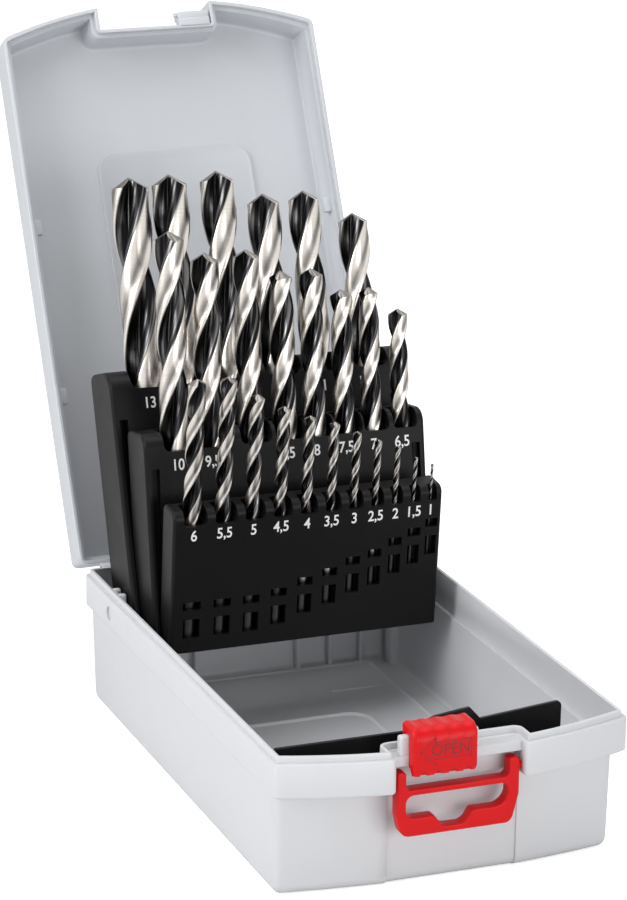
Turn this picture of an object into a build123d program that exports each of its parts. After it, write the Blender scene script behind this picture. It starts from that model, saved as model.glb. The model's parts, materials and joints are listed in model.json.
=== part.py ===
from build123d import *
import os
from math import cos, radians, sin, tan

# A hinged plastic case for 25 twist drills, shown open. Three racks fan out on one trunnion axis.
# Millimetres. +X is to the right, -Y is the front, +Z is up. The origin is the middle of the underside.

# ---- tray ----
foot_half = 54.2            # half width at the underside
foot_back = 91.0
foot_front = -90.6          # front corners at the underside
foot_bow = 2.1              # the front wall bows out by this much
side_draft = 2.4            # the side walls lean out by this much up to the collar
front_draft = 2.2
foot_radius = 4.5           # rounding between underside and walls
plan_radius = 9.0           # plan corners
wall = 2.2
floor_thick = 2.6
floor_radius = 6.5          # rounding inside, between floor and walls

collar_bottom = 34.3
collar_top = 45.5
collar_half = 58.6
collar_back = 92.0
collar_front = -95.8        # front corners of the collar
collar_bow = 9.9
collar_floor = 2.0
collar_foot_radius = 1.4
collar_wall = 2.6
ledge_z = 34.6              # step inside the side walls, where the collar starts

tongue_top = 47.5
tongue_inset = 1.4          # from the collar's outer face to the tongue's outer face
tongue_thick = 1.2
tongue_back = 80.0          # the tongue ends before the hinge

gap_left = -21.6            # the collar is open here for latch and hanger
gap_right = 20.6
gap_wall_front = -95.0
gap_wall_back = -92.6
gap_end_wall = 1.6
recess_left = -20.5
recess_right = 22.1
recess_depth = 1.3

rib_thick = 1.4             # upright ribs on the back wall
rib_depth = 1.3
rib_top = 30.0
rib_places = (-19.4, 18.2, 30.2, 41.8)
boss_width = 6.8            # upright boss on the right wall, behind the racks' swing
boss_depth = 2.6
boss_y = 82.4
pad_half = 25.0             # raised pad on the floor
pad_back = 38.0
pad_front = -60.0
pad_height = 0.8
pad_radius = 9.0

# ---- latch rail ----
rail_front = -101.6
rail_bottom = 41.5
rail_top = 45.3
block_right = 5.5           # the raised block that the open latch sits on
block_top = 51.5
block_front = -101.2
block_back = -98.4
tab_left = 6.1              # the lid's tab lies beside the block when closed
tab_right = 19.4
tab_root_drop = 1.7         # the tab's root is lower, so that the slider's lip passes over it

# ---- latch slider ----
slider_left = -19.0
slider_length = 22.0
slider_travel = 16.0
slider_front = -106.0
slider_bottom = 40.4
slider_top = 54.4
slider_play = 0.3
slider_lip = 1.2            # rear lip behind the block
slider_lip_drop = 1.2       # how far the lip reaches down behind the block
slider_hook = 0.9           # lower hook under the rail
slider_hook_reach = 1.4
grip_count = 5
scallop_count = 4

# ---- hanger handle ----
handle_pivot_y = -100.4
handle_pivot_z = 37.4
handle_thick = 5.0
handle_play = 0.5
handle_arm = 6.5
handle_bar_top = 35.0
handle_bottom = 19.9
handle_corner = 6.0
handle_taper = 1.5
handle_pin_radius = 1.4
handle_pin_play = 0.06
handle_pin_length = 1.3
handle_open = 90.0          # how far it swings out
slot_top = 33.0
slot_bottom = 27.2
slot_side = 4.5             # slot ends stay this far inside the bar
slot_lobe = 3.7

# ---- lid ----
lid_height = 16.0
lid_top_thick = 2.0
lid_rim = 4.1
lid_draft = 2.0             # degrees
lid_edge_radius = 4.0
lid_floor_radius = 3.0
lid_inner_radius = 5.0
groove_play = 0.15
groove_depth = 2.7
lid_notch_floor = -96.6
lid_notch_play = 0.4        # the notch is this much wider than the collar's gap, each side
lid_notch_wall = 2.0
panel_left = -26.0          # embossed panel inside the lid
panel_right = 21.4
panel_reach = 149.0         # from the hinge axis
panel_start = 40.0
panel_height = 0.6
panel_radius = 7.0
nub_reaches = (61.8, 122.0)
nub_size = 2.6
nub_depth = 0.7

# ---- lid hinge ----
hinge_y = 94.2
hinge_z = 45.5
lid_open = 116.5            # degrees from closed to the open rest
knuckle_radius = 1.9
knuckle_length = 7.0
knuckle_gap = 0.3
knuckle_middle = 40.0       # middle of each three-knuckle hinge
hinge_pin_radius = 1.0
hinge_pin_play = 0.05

# ---- rack trunnion ----
trunnion_y = 64.5
trunnion_z = 40.0
trunnion_radius = 2.5
trunnion_play = 0.08
trunnion_seat_play = 0.03
trunnion_root = 1.0         # how far the pin sits in the side wall
bearing_half = 4.1          # fork bearing on the side wall, half its width along Y
bearing_top = 47.4
bearing_play = 0.4
fork_slot = 3.6
lug_radius = 4.5

# ---- racks ----
plate = 1.5                 # front plate of each rack
web = 1.1                   # back plate of each rack
drill_play = 0.15           # front and back of a drill in its socket
socket_play = 0.45          # beside a drill in its socket
nest_gap = 0.4              # between racks when they are folded
mouth_extra = 2.0           # how much wider a socket's mouth is than its drill
shelf = 1.6                 # floor under a socket
edge_round = 1.2
swing_top = 5.5             # the inner racks' arms pass below this height

rear_half = 52.2
middle_half = 49.6
front_half = 47.2
cheek_rear = 2.2
cheek_inner = 2.0
rear_face = 10.1            # from the trunnion axis to the rack's front face
middle_face = rear_face + nest_gap + web + 2 * drill_play + 10.0 + plate + 0.1
front_face = middle_face + nest_gap + web + 2 * drill_play + 6.0 + plate

rear_tilt = 17.87           # degrees back from upright, in the open case
middle_tilt = 8.43
front_tilt = -5.82
folded_tilt = -90.0         # all racks, in the closed case

# ---- drills: diameters, DIN 338 lengths, where each stands ----
rear_drills = (13.0, 12.5, 12.0, 11.5, 11.0, 10.5)
rear_places = (-39.0, -25.0, -8.1, 7.9, 22.5, 39.7)
rear_stop = -6.3
rear_lean = 1.3             # degrees to the right
middle_drills = (10.0, 9.5, 9.0, 8.5, 8.0, 7.5, 7.0, 6.5)
middle_places = (-38.2, -26.1, -11.8, 0.2, 10.7, 21.2, 31.0, 41.3)
middle_stop = -5.1
middle_lean = 1.3
front_drills = (6.0, 5.5, 5.0, 4.5, 4.0, 3.5, 3.0, 2.5, 2.0, 1.5, 1.0)
front_gap = 4.85            # between neighbours
front_first = -40.2
front_stops = (0.0, 0.0, 0.0, 0.9, 1.8, 3.9, 8.8, 9.2, 14.4, 18.8, 21.8)
front_lean = 0.8
window_heights = (7.0, 7.0, 7.0, 8.4, 11.3, 13.6, 16.7, 18.5, 21.9, 24.6, 27.4)
window_tall = 6.8
window_wide = 5.8
window_narrow = 4.0
upper_window_rise = 8.1
upper_window_tall = 2.9
upper_window_extra = 0.4

# total length for each diameter up to the one named
jobber_lengths = ((1.0, 34.0), (1.5, 40.0), (2.0, 49.0), (2.5, 57.0), (3.0, 61.0), (3.5, 70.0),
                  (4.0, 75.0), (4.5, 80.0), (5.0, 86.0), (6.0, 93.0), (6.5, 101.0), (7.5, 109.0),
                  (8.5, 117.0), (9.5, 125.0), (10.5, 133.0), (11.5, 142.0), (13.0, 151.0))
point_angle = 118.0

# ---- front insert ----
insert_y = -86.0
insert_thick = 1.2
insert_left = -51.4
insert_corner = 7.0         # its lower corners are cut off to clear the rounded floor
insert_right = 39.0
insert_step = 12.0
insert_seat = 0.1           # it stands this far above the rounding, on average
insert_low = 47.5
insert_peak = 52.5
insert_peak_x = 8.4
insert_right_top = 50.6

far = 400.0


def span_box(x0, x1, y0, y1, z0, z1):
    """A box from one corner to the other."""
    size = Box(x1 - x0, y1 - y0, z1 - z0)
    return Pos((x0 + x1) / 2, (y0 + y1) / 2, (z0 + z1) / 2) * size


def both_sides(shape):
    """The shape and its mirror image across the middle of the case."""
    return shape + mirror(shape, Plane.YZ)


def plan_face(half, back, front, bow, radius, z):
    """A plan outline with round corners and a front edge that bows out."""
    sides = Polyline((half, front), (half, back), (-half, back), (-half, front))
    bowed = ThreePointArc((-half, front), (0, front - bow), (half, front))
    face = make_face(sides + bowed)
    face = fillet(face.vertices(), radius)
    return Pos(0, 0, z) * face


def collar_face(inset, z):
    """The collar's plan outline, moved inward."""
    radius = plan_radius + 1.0 - inset
    return plan_face(collar_half - inset, collar_back - inset, collar_front + inset, collar_bow,
                     radius, z)


# ---- tray -------------------------------------------------------------------------------
def tray_wall_face(inset, height):
    """Plan outline of the lower walls at a height, moved inward."""
    share = height / collar_bottom
    half = foot_half + side_draft * share - inset
    front = foot_front - front_draft * share + inset
    return plan_face(half, foot_back - inset, front, foot_bow, plan_radius - inset, height)


def lower_tray():
    outer = loft([tray_wall_face(0, 0), tray_wall_face(0, collar_bottom)], ruled=True)
    outer = fillet(outer.edges().group_by(Axis.Z)[0], foot_radius)
    inner = loft([tray_wall_face(wall, floor_thick), tray_wall_face(wall, ledge_z)], ruled=True)
    inner = fillet(inner.edges().group_by(Axis.Z)[0], floor_radius)
    return outer, inner


def collar():
    outer = extrude(collar_face(0, collar_bottom), collar_top - collar_bottom)
    outer = fillet(outer.edges().group_by(Axis.Z)[0], collar_foot_radius)
    tongue = extrude(collar_face(tongue_inset, collar_top - 1), tongue_top - collar_top + 1)
    tongue -= span_box(-far, far, tongue_back, far, collar_top, far)
    gap = span_box(gap_left, gap_right, -far, gap_wall_front, 0, far)
    tongue_gap = span_box(gap_left - gap_end_wall, gap_right + gap_end_wall, -far,
                          gap_wall_front + tongue_inset / 2, collar_top, far)
    return outer - gap + (tongue - gap - tongue_gap)


def collar_hollow():
    """The room inside the collar; it stops behind the latch gap."""
    inset = tongue_inset + tongue_thick
    high = extrude(collar_face(inset, collar_bottom + collar_floor), far / 4)
    blocked = span_box(gap_left - gap_end_wall, gap_right + gap_end_wall, -far, gap_wall_back, 0, far)
    high -= blocked
    middle = extrude(plan_face(collar_half - inset, collar_back - inset, foot_front + wall,
                               foot_bow, plan_radius, ledge_z), far / 4)
    return high + middle


def bearing():
    """Fork on the side wall: a round seat with a snap-in slot above it."""
    inner = rear_half + bearing_play
    outer = collar_half - tongue_inset
    ear = span_box(inner, outer, trunnion_y - bearing_half, trunnion_y + bearing_half,
                   ledge_z - 4, bearing_top)
    ear = fillet(ear.edges().filter_by(Axis.X).group_by(Axis.Z)[-1], 1.0)
    slot = span_box(0, inner + 2.2, trunnion_y - fork_slot / 2, trunnion_y + fork_slot / 2,
                    trunnion_z, far)
    return ear - slot


def trunnion_hole():
    radius = trunnion_radius + trunnion_seat_play
    reach = collar_half - tongue_inset - tongue_thick + trunnion_root
    return Pos(reach / 2, trunnion_y, trunnion_z) * Rot(0, 90, 0) * Cylinder(radius, reach)


def hinge_knuckle(x, side):
    """One barrel of the lid hinge with its bracket; side is -1 below the axis, +1 above it."""
    barrel = Pos(x, hinge_y, hinge_z) * Rot(0, 90, 0) * Cylinder(knuckle_radius, knuckle_length)
    near = hinge_z + 0.15 * side
    away = hinge_z + knuckle_radius * side
    bracket = span_box(x - knuckle_length / 2, x + knuckle_length / 2, collar_back - 1.0, hinge_y,
                       min(near, away), max(near, away))
    return barrel + bracket


def hinge_bore():
    radius = hinge_pin_radius + hinge_pin_play
    return Pos(0, hinge_y, hinge_z) * Rot(0, 90, 0) * Cylinder(radius, far)


def front_recess():
    """The flat panel let into the front wall below the rail, sloped like the wall."""
    angle = 3.7
    face = foot_front - foot_bow + recess_depth
    cut = span_box(recess_left, recess_right, -20, 0, -10, collar_bottom + 15)
    return Pos(0, face, 0) * Rot(angle, 0, 0) * cut


def latch_rail():
    rail = span_box(gap_left, gap_right, rail_front, gap_wall_back, rail_bottom, rail_top)
    block = span_box(gap_left, block_right, block_front, block_back, rail_top - 1, block_top)
    block = fillet(block.edges().filter_by(Axis.X).group_by(Axis.Z)[-1], 0.8)
    return rail + block


def back_ribs():
    ribs = Part()
    for x in rib_places:
        ribs += span_box(x - rib_thick / 2, x + rib_thick / 2, foot_back - wall - rib_depth,
                         foot_back - wall + 0.5, floor_thick - 1, rib_top)
    return ribs


def base_tray():
    outer, inner = lower_tray()
    tray = outer + collar() - inner - collar_hollow()
    tray -= front_recess()
    tray += latch_rail()
    ribs = back_ribs() & outer
    boss_inner = foot_half - wall - boss_depth + side_draft * 0.5
    boss = span_box(boss_inner, far, boss_y - boss_width / 2, boss_y + boss_width / 2,
                    floor_thick, ledge_z)
    tray += ribs + (boss & outer)
    pad = span_box(-pad_half, pad_half, pad_front, pad_back, floor_thick - 0.5,
                   floor_thick + pad_height)
    tray += fillet(pad.edges().filter_by(Axis.Z), pad_radius)
    tray += both_sides(bearing())
    tray -= both_sides(trunnion_hole())
    for x in (-knuckle_middle, knuckle_middle):
        tray += hinge_knuckle(x, -1)
    for x in (gap_left, gap_right):
        reach = handle_pin_length + handle_play
        tray -= Pos(x, handle_pivot_y, handle_pivot_z) * Rot(0, 90, 0) * Cylinder(
            handle_pin_radius + handle_pin_play, 2 * reach)
    return tray - hinge_bore()


# ---- lid: modelled closed, then swung open -------------------------------------------------
def lid_shell():
    outer = extrude(collar_face(0, collar_top), lid_height, taper=lid_draft)
    outer = fillet(outer.edges().group_by(Axis.Z)[-1], lid_edge_radius)
    inner = extrude(collar_face(lid_rim, collar_top), lid_height - lid_top_thick, taper=lid_draft)
    left = gap_left - lid_notch_play
    right = gap_right + lid_notch_play
    notch = span_box(left, right, -far, lid_notch_floor, 0, far)
    inner_notch = span_box(left - lid_notch_wall, right + lid_notch_wall, -far,
                           lid_notch_floor + lid_notch_wall, 0, far)
    inner -= inner_notch
    inner = fillet(inner.edges().group_by(Axis.Z)[-1], 2.0)
    return outer - notch - inner


def lid_groove():
    """The groove in the rim that takes the tray's tongue."""
    wide = extrude(collar_face(tongue_inset - groove_play, collar_top), groove_depth)
    core = extrude(collar_face(tongue_inset + tongue_thick + groove_play, collar_top), groove_depth)
    ring = wide - core - span_box(-far, far, tongue_back + 1.0, far, 0, far)
    front = span_box(gap_left - 6, gap_right + 6, -far, gap_wall_front + 1.2, 0, far)
    behind = span_box(gap_left - 6, gap_right + 6, gap_wall_front, gap_wall_back + 0.3,
                      collar_top, collar_top + groove_depth)
    return ring + (behind & front)


def closed_lid():
    lid = lid_shell()
    inner_top = collar_top + lid_height - lid_top_thick
    panel = span_box(panel_left, panel_right, hinge_y - panel_reach, hinge_y - panel_start,
                     inner_top - panel_height, inner_top + 0.5)
    lid += fillet(panel.edges().filter_by(Axis.Z), panel_radius)
    tab = span_box(tab_left, tab_right, block_front, block_back, collar_top + 0.1, block_top)
    tab = fillet(tab.edges().filter_by(Axis.X).group_by(Axis.Z)[-1], 0.8)
    lid += tab + span_box(tab_left, tab_right, block_back, lid_notch_floor + 0.5, collar_top + 0.1,
                          block_top - tab_root_drop)
    for reach in nub_reaches:
        side = collar_half - lid_rim
        nub = span_box(side - nub_depth - 0.2, side + 0.5, hinge_y - reach - nub_size / 2,
                       hinge_y - reach + nub_size / 2, collar_top + 4, collar_top + 4 + nub_size)
        lid += both_sides(nub)
    step = knuckle_length + knuckle_gap
    for middle in (-knuckle_middle, knuckle_middle):
        for x in (middle - step, middle + step):
            lid += hinge_knuckle(x, 1)
    fork_room = span_box(0, collar_half - tongue_inset - tongue_thick, trunnion_y - bearing_half - 0.5,
                         trunnion_y + bearing_half + 0.5, 0, bearing_top + 0.5)
    return lid - lid_groove() - both_sides(fork_room) - hinge_bore()


def open_lid():
    axis = Axis((0, hinge_y, hinge_z), (1, 0, 0))
    return closed_lid().rotate(axis, -lid_open)


def hinge_pin(middle):
    length = 3 * knuckle_length + 2 * knuckle_gap
    return Pos(middle, hinge_y, hinge_z) * Rot(0, 90, 0) * Cylinder(hinge_pin_radius, length)


# ---- racks: modelled upright about the trunnion axis, then tilted ------------------------------
def at_tilt(tilt):
    return Pos(0, trunnion_y, trunnion_z) * Rot(-tilt, 0, 0)


def drill_length(diameter):
    for largest, length in jobber_lengths:
        if diameter <= largest:
            return length
    return jobber_lengths[-1][1]


def standing(x, face, diameter, stop, lean):
    """Where a drill's shank end stands in its rack, leaning to the right."""
    depth = face - plate - drill_play - diameter / 2
    return Pos(x, -depth, stop) * Rot(0, lean, 0)


def drill(diameter):
    """A jobber drill standing on its shank end."""
    radius = diameter / 2
    length = drill_length(diameter)
    point = radius / tan(radians(point_angle / 2))
    profile = Polyline((0, 0), (radius * 0.88, 0), (radius, radius * 0.3), (radius, length - point),
                       (0, length), (0, 0))
    return revolve(make_face(Plane.XZ * profile), Axis.Z)


def socket(diameter, mouth, stop, face, depth):
    """The hollow for one drill: a pocket with a wider notch through the front plate on top."""
    width = diameter + 2 * socket_play
    pocket = span_box(-width / 2, width / 2, -diameter / 2 - drill_play, diameter / 2 + drill_play,
                      0, far / 2)
    notch_half = diameter / 2 + mouth_extra / 2
    notch = span_box(-notch_half, notch_half, -far / 10, diameter / 2 + drill_play,
                     mouth - stop, far / 2)
    notch = fillet(notch.edges().filter_by(Axis.Y).group_by(Axis.Z)[0], notch_half * 0.4)
    return pocket + notch


def rack_block(half, face, cheek_depth, low, high, top_radius, rear_radius):
    """The rack's outer body: a bar as deep as its cheeks with a round front top edge."""
    outline = Polyline((-face, low), (-face, high), (cheek_depth - face, high),
                       (cheek_depth - face, low), (-face, low))
    face_yz = make_face(Plane.YZ * outline)
    bar = extrude(face_yz, half, both=True)
    top = bar.edges().filter_by(Axis.X).group_by(Axis.Z)[-1].sort_by(Axis.Y)
    bar = fillet(top[0], top_radius)
    top = bar.edges().filter_by(Axis.X).sort_by(Axis.Y)
    bar = fillet(top[-2:], rear_radius)
    ends = bar.faces().sort_by(Axis.X)
    return fillet(ends[0].edges() + ends[-1].edges(), edge_round)


def arm(half, cheek, face, cheek_depth, low, high):
    """Two arms from the cheeks back to the trunnion, with round lugs."""
    reach = face - cheek_depth + 1.5
    bar = span_box(half - cheek, half, -reach, 0, low, high)
    lug = Pos(half - cheek / 2, 0, 0) * Rot(0, 90, 0) * Cylinder(lug_radius, cheek)
    return both_sides(bar + lug)


def outer_neighbour(face, angle, half):
    """The space of the next rack back when the racks are fanned out by the angle between them."""
    return Rot(-angle, 0, 0) * span_box(-half, half, -(face + nest_gap), far, -far, far)


def lug_bore():
    return Rot(0, 90, 0) * Cylinder(trunnion_radius + trunnion_play, far)


def rear_rack():
    depth = 22.0
    body = rack_block(rear_half, rear_face, depth, -8.0, 80.4, 7.0, 3.0)
    inner = rear_half - cheek_rear
    back = plate + 2 * drill_play + rear_drills[0] + web - rear_face
    body -= span_box(-inner, inner, back, far, -far, far)
    slot_in = middle_half - cheek_inner - nest_gap
    swing = front_half - cheek_inner - nest_gap
    body -= both_sides(span_box(swing, inner, -far, far, -far, swing_top))
    middle_depth = 18.5
    slit_back = -(middle_face - middle_depth - nest_gap)
    body -= both_sides(span_box(slot_in, inner, -far, slit_back, -far, 64.0))
    for diameter, x in zip(rear_drills, rear_places):
        hole = socket(diameter, 74.0, rear_stop, rear_face, depth)
        body -= standing(x, rear_face, diameter, rear_stop, rear_lean) * hole
    return at_tilt(rear_tilt) * (body - lug_bore())


def middle_rack():
    depth = 18.5
    body = rack_block(middle_half, middle_face, depth, -8.0, 62.5, 5.0, 3.0)
    body += arm(middle_half, cheek_inner, middle_face, depth, -lug_radius, lug_radius)
    inner = middle_half - cheek_inner
    back = plate + 2 * drill_play + middle_drills[0] + web - middle_face
    body -= span_box(-inner, inner, back, far, -far, far)
    swing = front_half - cheek_inner - nest_gap
    body -= both_sides(span_box(swing, inner, -far, far, -far, swing_top))
    body -= outer_neighbour(rear_face, rear_tilt - middle_tilt, inner)
    slit_back = -(front_face - 11.4 - nest_gap)
    body -= both_sides(span_box(swing, inner, -far, slit_back, -far, 51.0))
    for diameter, x in zip(middle_drills, middle_places):
        hole = socket(diameter, 56.3, middle_stop, middle_face, depth)
        body -= standing(x, middle_face, diameter, middle_stop, middle_lean) * hole
    return at_tilt(middle_tilt) * (body - lug_bore())


def front_places():
    """Neighbouring drills stand the same gap apart."""
    places = [front_first]
    for before, diameter in zip(front_drills, front_drills[1:]):
        places.append(places[-1] + (before + diameter) / 2 + front_gap)
    return places


def front_windows():
    """Two windows in the front plate show how each shank sits in its socket."""
    windows = Part()
    count = len(front_drills) - 1
    rows = zip(front_places(), front_drills, window_heights)
    for number, (x, diameter, height) in enumerate(rows):
        wide = window_wide + (window_narrow - window_wide) * number / count
        x = x + tan(radians(front_lean)) * height
        windows += span_box(x - wide / 2, x + wide / 2, -far, 2 * plate - front_face,
                            height - window_tall / 2, height + window_tall / 2)
        high = height + upper_window_rise
        wide += upper_window_extra
        windows += span_box(x - wide / 2, x + wide / 2, -far, 2 * plate - front_face,
                            high - upper_window_tall / 2, high + upper_window_tall / 2)
    return windows


def front_rack():
    depth = 11.4
    body = rack_block(front_half, front_face, depth, -1.6, 48.5, 3.0, 2.5)
    body += arm(front_half, cheek_inner, front_face, depth, -4.0, 3.5)
    inner = front_half - cheek_inner
    back = plate + 2 * drill_play + front_drills[0] + web - front_face
    body -= span_box(-inner, inner, back, far, -far, far)
    body -= outer_neighbour(middle_face, middle_tilt - front_tilt, inner)
    relief = rear_drills[0] / 2 - rear_places[0] + nest_gap
    body -= Rot(0, 90, 0) * Cylinder(lug_radius + 5, 2 * relief)
    rows = zip(front_drills, front_places(), front_stops)
    for diameter, x, stop in rows:
        hole = socket(diameter, 43.5, stop, front_face, depth)
        body -= standing(x, front_face, diameter, stop, front_lean) * hole
    body -= front_windows()
    return at_tilt(front_tilt) * (body - lug_bore())


def trunnion_pin(side):
    inner = rear_drills[0] / 2 - rear_places[0] + nest_gap
    outer = collar_half - tongue_inset - tongue_thick + trunnion_root - 0.1
    pin = Cylinder(trunnion_radius, outer - inner)
    return Pos(side * (inner + outer) / 2, trunnion_y, trunnion_z) * Rot(0, 90, 0) * pin


# ---- latch slider ---------------------------------------------------------------------------
def latch_slider():
    """A channel that wraps the rail and block: front wall, top, rear lip and lower hook."""
    back = block_back + slider_play + slider_lip
    roof = block_top + slider_play
    body = span_box(slider_left, slider_left + slider_length, slider_front, back, slider_bottom,
                    slider_top)
    top_edges = body.edges().filter_by(Axis.X).group_by(Axis.Z)[-1].sort_by(Axis.Y)
    body = fillet(top_edges[0], 1.8)
    low_edges = body.edges().filter_by(Axis.X).group_by(Axis.Z)[0].sort_by(Axis.Y)
    body = fillet(low_edges[0], 1.0)
    front_wall = rail_front - slider_play
    body -= span_box(-far, far, front_wall, block_back + slider_play,
                     rail_bottom - slider_play, roof)
    body -= span_box(-far, far, front_wall + slider_hook_reach, far, -far, block_top - slider_lip_drop)
    pitch = slider_length / grip_count
    for number in range(grip_count):
        x = slider_left + (number + 0.5) * pitch
        groove = Pos(x, slider_front + 1.2, slider_top + 0.5) * Rot(90, 0, 0) * Cylinder(1.2, 16)
        body -= groove
    pitch = slider_length / scallop_count
    for number in range(scallop_count):
        x = slider_left + (number + 0.5) * pitch
        body -= Pos(x, slider_front, slider_bottom - 1.2) * Rot(90, 0, 0) * Cylinder(2.0, 3.4)
    return body


# ---- hanger handle -----------------------------------------------------------------------------
def hanger_handle():
    left = gap_left + handle_play
    right = gap_right - handle_play
    top = handle_pivot_z + handle_thick / 2
    outline = Polyline((left, top), (right, top), (right, handle_bar_top),
                       (right - handle_taper, handle_bottom), (left + handle_taper, handle_bottom),
                       (left, handle_bar_top), (left, top))
    face = make_face(Plane.XZ * outline)
    body = Pos(0, handle_pivot_y, 0) * extrude(face, handle_thick / 2, both=True)
    low = body.edges().filter_by(Axis.Y).group_by(Axis.Z)[0]
    body = fillet(low, handle_corner)
    body -= span_box(left + handle_arm, right - handle_arm, -far, far, handle_bar_top, far)
    slot = span_box(left + slot_side, right - slot_side, -far, far, slot_bottom, slot_top)
    lobe = Pos((left + right) / 2, 0, slot_bottom) * Rot(90, 0, 0) * Cylinder(slot_lobe, 2 * far)
    body -= fillet(slot.edges().filter_by(Axis.Y), 2.4) + lobe
    ends = Rot(0, 90, 0) * Cylinder(handle_thick / 2, right - left)
    keep = Pos((left + right) / 2, handle_pivot_y, handle_pivot_z) * ends
    keep += span_box(left, right, -far, far, 0, handle_pivot_z)
    body &= keep
    pin_span = right - left + 2 * (handle_play + handle_pin_length)
    pin = Pos((left + right) / 2, handle_pivot_y, handle_pivot_z) * Rot(0, 90, 0) * Cylinder(
        handle_pin_radius, pin_span)
    pin -= span_box(left + handle_arm, right - handle_arm, -far, far, -far, far)
    return body + pin


# ---- front insert -----------------------------------------------------------------------------
def front_insert():
    """A thin divider that stands in front of the drill points, on the rounding of the floor."""
    round_middle = foot_front + wall + floor_radius
    reach = round_middle - (insert_y - insert_thick)
    foot = floor_thick + floor_radius - (floor_radius ** 2 - reach ** 2) ** 0.5 + insert_seat
    outline = Polyline((insert_left + insert_corner, foot), (insert_left, foot + insert_corner),
                       (insert_left, insert_low), (-12.6, insert_low), (2.4, insert_peak - 1.6),
                       (insert_peak_x, insert_peak), (insert_step, insert_low + 1.0),
                       (insert_right, insert_right_top), (insert_right, foot),
                       (insert_left + insert_corner, foot))
    face = make_face(Plane.XZ * outline)
    card = Pos(0, insert_y, 0) * extrude(face, insert_thick)
    return card


def write(name, shape, colour):
    shape.label = name
    shape.color = Color(*colour)
    export_step(shape, "parts/" + name + ".step")


def main():
    os.makedirs("parts", exist_ok=True)
    grey = (0.87, 0.87, 0.88)
    black = (0.06, 0.06, 0.065)
    red = (0.78, 0.05, 0.05)
    steel = (0.75, 0.75, 0.76)
    write("base_tray", base_tray(), grey)
    write("lid", open_lid(), (0.78, 0.80, 0.82))
    write("hinge_pin_left", hinge_pin(-knuckle_middle), steel)
    write("hinge_pin_right", hinge_pin(knuckle_middle), steel)
    write("trunnion_pin_left", trunnion_pin(-1), black)
    write("trunnion_pin_right", trunnion_pin(1), black)
    write("rear_rack", rear_rack(), black)
    write("middle_rack", middle_rack(), black)
    write("front_rack", front_rack(), (0.1, 0.1, 0.1))
    write("latch_slider", latch_slider(), red)
    write("hanger_handle", hanger_handle(), red)
    write("front_insert", front_insert(), black)
    rows = [(rear_drills, rear_places, [rear_stop] * 6, rear_face, rear_lean, rear_tilt),
            (middle_drills, middle_places, [middle_stop] * 8, middle_face, middle_lean, middle_tilt),
            (front_drills, front_places(), front_stops, front_face, front_lean, front_tilt)]
    for drills, places, stops, face, lean, tilt in rows:
        for diameter, x, stop in zip(drills, places, stops):
            name = "drill_" + str(diameter).replace(".", "_")
            place = at_tilt(tilt) * standing(x, face, diameter, stop, lean)
            write(name, place * drill(diameter), steel)


main()
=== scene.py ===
# %% [markdown]
# A drill bit case, dressed for the camera. The imported parts give every size and place: a pale tray and
# lid, three black racks, a red latch and hanger, and 25 drills. Load them first.

# %% Load the parts
import json
from math import cos, pi, radians, sin, tan

import bmesh
import bpy
import numpy as np
from mathutils import Matrix, Vector


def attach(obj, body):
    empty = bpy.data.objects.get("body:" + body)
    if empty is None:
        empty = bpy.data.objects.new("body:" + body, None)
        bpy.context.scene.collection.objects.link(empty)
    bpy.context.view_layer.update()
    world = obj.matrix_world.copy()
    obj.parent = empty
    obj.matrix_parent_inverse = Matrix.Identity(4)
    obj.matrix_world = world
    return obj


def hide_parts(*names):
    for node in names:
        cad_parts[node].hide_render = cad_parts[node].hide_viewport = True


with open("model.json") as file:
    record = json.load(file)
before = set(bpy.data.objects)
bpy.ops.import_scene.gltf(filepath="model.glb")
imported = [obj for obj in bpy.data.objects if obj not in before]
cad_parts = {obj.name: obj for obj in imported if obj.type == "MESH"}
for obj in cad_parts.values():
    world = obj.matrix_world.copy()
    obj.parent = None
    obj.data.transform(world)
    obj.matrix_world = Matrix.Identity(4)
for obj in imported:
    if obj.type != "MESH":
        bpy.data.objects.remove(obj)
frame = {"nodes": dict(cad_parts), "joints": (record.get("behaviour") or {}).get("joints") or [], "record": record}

MM = 0.001
nodes = frame["nodes"]
joints = {joint["name"]: joint for joint in frame["joints"]}
bodies = frame["record"]["behaviour"]["bodies"]
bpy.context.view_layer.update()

# %% [markdown]
# Materials are built from small steps. These helpers add a node, set its sockets by name and link
# whatever is itself a socket, so that each material below reads like a list of what is in it.

# %% Helpers for nodes


def feed(tree, node, **sockets):
    """Sets a node's inputs, by name or by _number, or links whatever is itself a socket."""
    for name, value in sockets.items():
        socket = node.inputs[int(name[1:])] if name[0] == "_" else node.inputs[name.replace("_", " ")]
        if isinstance(value, bpy.types.NodeSocket):
            tree.links.new(value, socket)
        else:
            socket.default_value = value
    return node


def add(tree, kind, settings=None, **sockets):
    """Adds a node; settings are its properties, and sockets its inputs."""
    node = tree.nodes.new(kind)
    for name, value in (settings or {}).items():
        setattr(node, name, value)
    return feed(tree, node, **sockets)


def noise(tree, place, scale, detail=2.0):
    return add(tree, "ShaderNodeTexNoise", Vector=place, Scale=scale, Detail=detail).outputs["Fac"]


def mixed(tree, factor, *colours):
    """A colour between two others; each of them is three numbers or a socket."""
    first, second = (c if isinstance(c, bpy.types.NodeSocket) else (*c, 1) for c in colours)
    mix = add(tree, "ShaderNodeMix", {"data_type": "RGBA"}, Factor=factor, _6=first, _7=second)
    return mix.outputs[2]


def ramp(tree, value, low, high, at_low=0.0, at_high=1.0, kind="SMOOTHSTEP"):
    """at_low up to low, at_high from high on, and a step from one to the other."""
    return add(tree, "ShaderNodeMapRange", {"interpolation_type": kind}, Value=value, From_Min=low,
               From_Max=high, To_Min=at_low, To_Max=at_high).outputs[0]


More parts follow.
